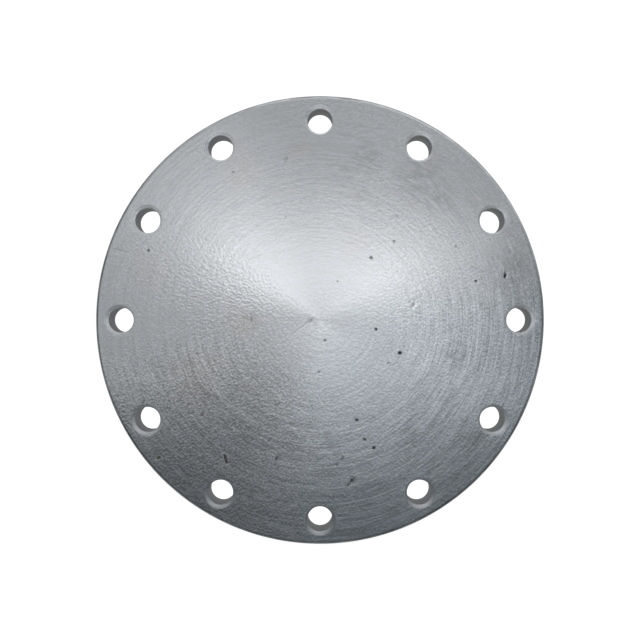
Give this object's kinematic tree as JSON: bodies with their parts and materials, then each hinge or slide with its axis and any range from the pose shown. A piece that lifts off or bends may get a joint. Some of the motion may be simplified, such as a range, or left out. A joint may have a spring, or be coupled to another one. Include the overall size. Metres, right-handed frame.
{
  "type": "blind flange",
  "caption": "Round flat-faced steel blind flange with a ring of through bolt holes, turned all over, that closes the end of a pipe or valve.",
  "frame": {"origin": "centre of the underside, which is the back face", "axes": "+Z is the flange's axis, out of the front face; +Y points at the centre of one bolt hole; the plate lies flat"},
  "size_m": [0.3949, 0.395, 0.026],
  "materials": {
    "turned_steel": "dull grey steel turned in fine concentric grooves, with drilled hole walls, small pits and faint brown stains"
  },
  "bodies": {
    "root": {"flange_plate": "turned_steel"}
  },
  "joints": []
}
